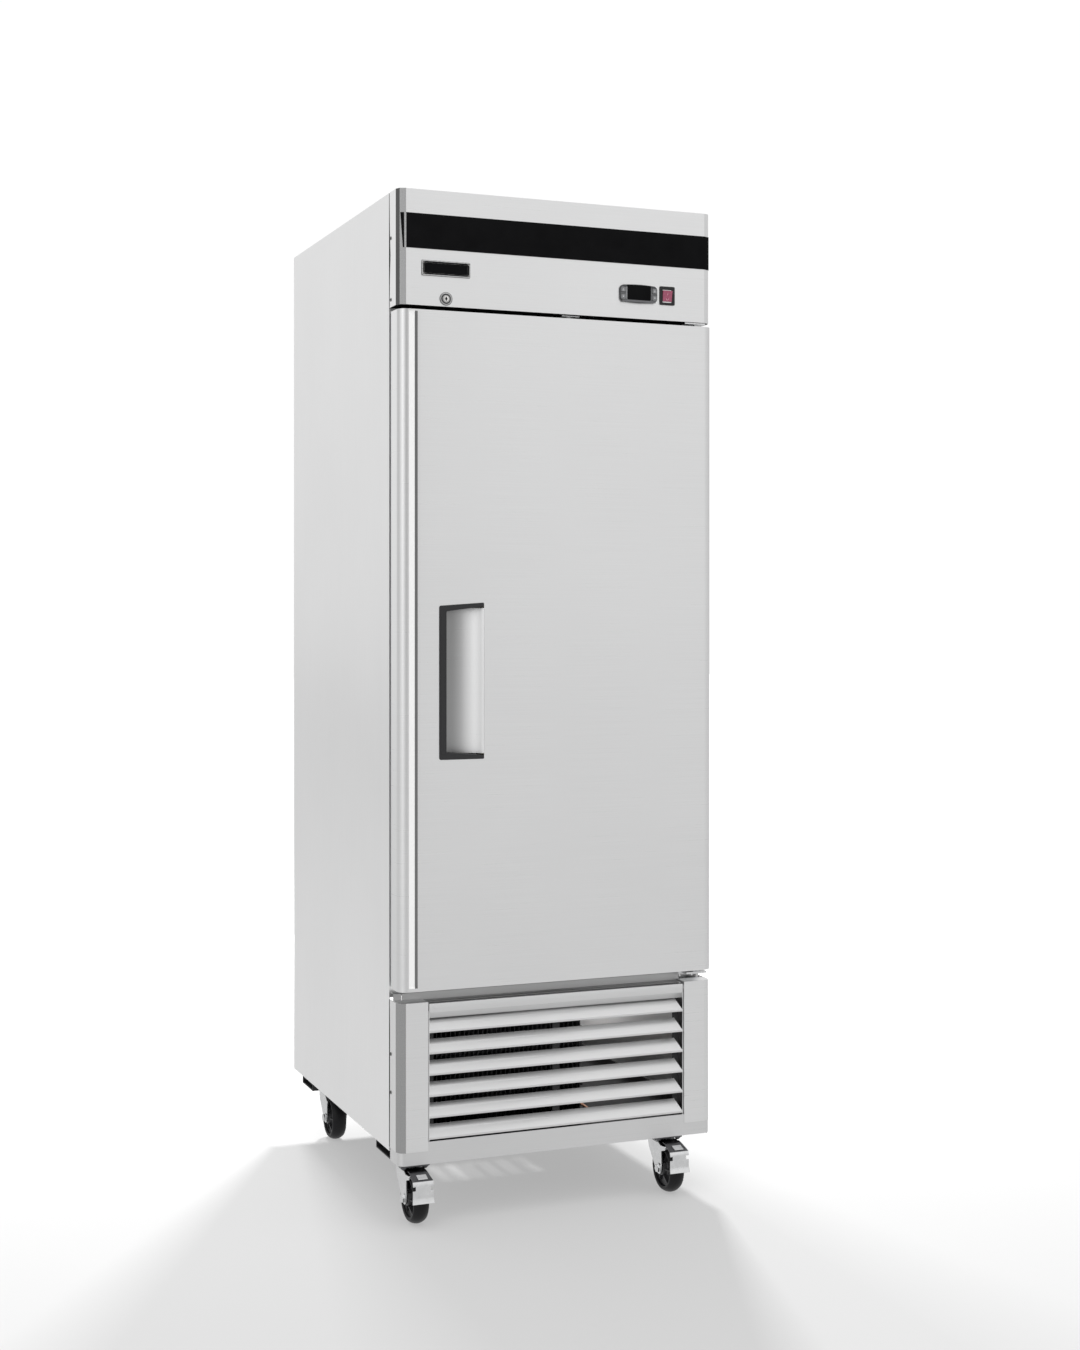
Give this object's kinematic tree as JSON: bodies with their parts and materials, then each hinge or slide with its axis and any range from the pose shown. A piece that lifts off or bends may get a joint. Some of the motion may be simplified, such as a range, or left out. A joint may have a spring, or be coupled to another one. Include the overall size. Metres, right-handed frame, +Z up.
{
  "type": "reach-in refrigerator",
  "caption": "Upright reach-in refrigerator with one solid hinged door, recessed handle, louvred base, wire shelves, bottom cooling unit and swivel casters.",
  "frame": {"origin": "on the floor, under the middle of the overall box", "axes": "+Z up, the door faces -Y, +X to the right as seen from the front"},
  "size_m": [0.6892, 0.845, 2.04],
  "materials": {
    "stainless_side": "satin stainless steel, fine grain",
    "stainless_front": "brushed stainless steel, horizontal grain",
    "stainless_grille": "brushed stainless steel",
    "galvanised": "galvanised sheet",
    "liner_steel": "satin aluminium",
    "foam": "rigid polyurethane foam",
    "frame_plastic": "moulded breaker strip",
    "band_black": "glossy black",
    "badge_metal": "brushed frame round a blank black plate",
    "lock_chrome": "bright nickel",
    "bezel_grey": "fine-textured grey",
    "window_dark": "smoked window",
    "button_grey": "moulded keys",
    "housing_black": "black moulding",
    "rocker_red": "translucent red",
    "white_plastic": "white moulding",
    "base_black": "black powder coat",
    "rail_steel": "brushed stainless steel",
    "compressor_black": "black enamel",
    "fin_aluminium": "mill-finish fins",
    "shroud_black": "satin black",
    "fan_black": "black blades",
    "copper_tube": "drawn copper",
    "pan_black": "black tray",
    "cover_white": "white coated cover",
    "gland_black": "nylon gland",
    "lamp_lens": "opal lamp",
    "pilaster_steel": "bright zinc",
    "shelf_wire": "coated wire",
    "caster_zinc": "bright zinc plating",
    "wheel_rubber": "black rubber tread",
    "screw_steel": "plated screws",
    "gasket_grey": "magnetic gasket",
    "handle_black": "fine-textured black",
    "handle_steel": "satin stainless steel",
    "bush_black": "nylon bush"
  },
  "bodies": {
    "cabinet": {"outer_wrap": "stainless_side", "back_panel": "galvanised", "inner_liner": "liner_steel", "cabinet_foam": "foam", "front_frame": "frame_plastic", "header_panel": "stainless_front", "fascia_band": "band_black", "badge": "badge_metal", "lock_body": "lock_chrome", "controller_bezel": "bezel_grey", "controller_window": "window_dark", "rocker_housing": "housing_black", "top_hinge": "caster_zinc", "bottom_hinge": "caster_zinc", "switch_body": "caster_zinc", "base_frame": "base_black", "base_rails": "rail_steel", "pillars": "stainless_front", "louvre_grille": "stainless_grille", "compressor": "compressor_black", "condenser_coil": "fin_aluminium", "condenser_shroud": "shroud_black", "refrigerant_tubes": "copper_tube", "condensate_pan": "pan_black", "evaporator_cover": "cover_white", "evaporator_coil": "fin_aluminium", "terminal_box": "gland_black", "led_light": "lamp_lens", "pilasters": "pilaster_steel", "shelf_lower": "shelf_wire", "shelf_middle": "shelf_wire", "shelf_upper": "shelf_wire", "caster_plates": "caster_zinc", "screws": "screw_steel"},
    "door": {"door_skin": "stainless_front", "door_liner": "liner_steel", "door_foam": "foam", "door_gasket": "gasket_grey", "handle_frame": "handle_black", "handle_scoop": "handle_steel", "hinge_bushes": "bush_black"},
    "lock_plug_body": {"lock_plug": "lock_chrome"},
    "button_left_upper_body": {"button_left_upper": "button_grey"},
    "button_left_lower_body": {"button_left_lower": "button_grey"},
    "button_right_upper_body": {"button_right_upper": "button_grey"},
    "button_right_lower_body": {"button_right_lower": "button_grey"},
    "rocker_body": {"rocker": "rocker_red"},
    "switch_plunger_body": {"switch_plunger": "white_plastic"},
    "condenser_fan_body": {"condenser_fan": "fan_black"},
    "evaporator_fan_body": {"evaporator_fan": "fan_black"},
    "fork_fl_body": {"fork_fl": "caster_zinc"},
    "fork_fr_body": {"fork_fr": "caster_zinc"},
    "fork_rl_body": {"fork_rl": "caster_zinc"},
    "fork_rr_body": {"fork_rr": "caster_zinc"},
    "wheel_fl_body": {"wheel_fl": "wheel_rubber"},
    "wheel_fr_body": {"wheel_fr": "wheel_rubber"},
    "wheel_rl_body": {"wheel_rl": "wheel_rubber"},
    "wheel_rr_body": {"wheel_rr": "wheel_rubber"},
    "pedal_fl_body": {"pedal_fl": "caster_zinc"},
    "pedal_fr_body": {"pedal_fr": "caster_zinc"}
  },
  "joints": [
    {"name": "door_swing", "type": "hinge", "parent": "cabinet", "child": "door", "pos_m": [0.318, -0.3595, 1.131], "axis": [0, 0, 1], "range_deg": [0, 115]},
    {"name": "lock_turn", "type": "hinge", "parent": "cabinet", "child": "lock_plug_body", "pos_m": [-0.244, -0.37, 1.8265], "axis": [0, 1, 0], "range_deg": [0, 90]},
    {"name": "button_left_upper_press", "type": "slide", "parent": "cabinet", "child": "button_left_upper_body", "axis": [0, 1, 0], "range_m": [0, 0.001], "stiffness_N_per_m": 400},
    {"name": "button_left_lower_press", "type": "slide", "parent": "cabinet", "child": "button_left_lower_body", "axis": [0, 1, 0], "range_m": [0, 0.001], "stiffness_N_per_m": 400},
    {"name": "button_right_upper_press", "type": "slide", "parent": "cabinet", "child": "button_right_upper_body", "axis": [0, 1, 0], "range_m": [0, 0.001], "stiffness_N_per_m": 400},
    {"name": "button_right_lower_press", "type": "slide", "parent": "cabinet", "child": "button_right_lower_body", "axis": [0, 1, 0], "range_m": [0, 0.001], "stiffness_N_per_m": 400},
    {"name": "rocker_tilt", "type": "hinge", "parent": "cabinet", "child": "rocker_body", "pos_m": [0.2405, -0.3785, 1.8615], "axis": [1, 0, 0], "range_deg": [-14, 0]},
    {"name": "switch_press", "type": "slide", "parent": "cabinet", "child": "switch_plunger_body", "axis": [0, 0, 1], "range_m": [0, 0.003], "stiffness_N_per_m": 120},
    {"name": "condenser_fan_spin", "type": "hinge", "parent": "cabinet", "child": "condenser_fan_body", "pos_m": [-0.081, -0.1524, 0.264], "axis": [0, 1, 0], "continuous": true},
    {"name": "evaporator_fan_spin", "type": "hinge", "parent": "cabinet", "child": "evaporator_fan_body", "pos_m": [0, -0.1915, 1.885], "axis": [0, 1, 0], "continuous": true},
    {"name": "swivel_fl", "type": "hinge", "parent": "cabinet", "child": "fork_fl_body", "pos_m": [-0.303, -0.3295, 0.11], "axis": [0, 0, 1], "continuous": true},
    {"name": "wheel_spin_fl", "type": "hinge", "parent": "fork_fl_body", "child": "wheel_fl_body", "pos_m": [-0.303, -0.3645, 0.05], "axis": [1, 0, 0], "continuous": true},
    {"name": "swivel_fr", "type": "hinge", "parent": "cabinet", "child": "fork_fr_body", "pos_m": [0.252, -0.3295, 0.11], "axis": [0, 0, 1], "continuous": true},
    {"name": "wheel_spin_fr", "type": "hinge", "parent": "fork_fr_body", "child": "wheel_fr_body", "pos_m": [0.252, -0.3645, 0.05], "axis": [1, 0, 0], "continuous": true},
    {"name": "swivel_rl", "type": "hinge", "parent": "cabinet", "child": "fork_rl_body", "pos_m": [-0.284, 0.3175, 0.11], "axis": [0, 0, 1], "continuous": true},
    {"name": "wheel_spin_rl", "type": "hinge", "parent": "fork_rl_body", "child": "wheel_rl_body", "pos_m": [-0.284, 0.2825, 0.05], "axis": [1, 0, 0], "continuous": true},
    {"name": "swivel_rr", "type": "hinge", "parent": "cabinet", "child": "fork_rr_body", "pos_m": [0.284, 0.3175, 0.11], "axis": [0, 0, 1], "continuous": true},
    {"name": "wheel_spin_rr", "type": "hinge", "parent": "fork_rr_body", "child": "wheel_rr_body", "pos_m": [0.284, 0.2825, 0.05], "axis": [1, 0, 0], "continuous": true},
    {"name": "brake_pedal_fl", "type": "hinge", "parent": "fork_fl_body", "child": "pedal_fl_body", "pos_m": [-0.303, -0.3915, 0.098], "axis": [1, 0, 0], "range_deg": [-7, 0]},
    {"name": "brake_pedal_fr", "type": "hinge", "parent": "fork_fr_body", "child": "pedal_fr_body", "pos_m": [0.252, -0.3915, 0.098], "axis": [1, 0, 0], "range_deg": [-7, 0]}
  ]
}
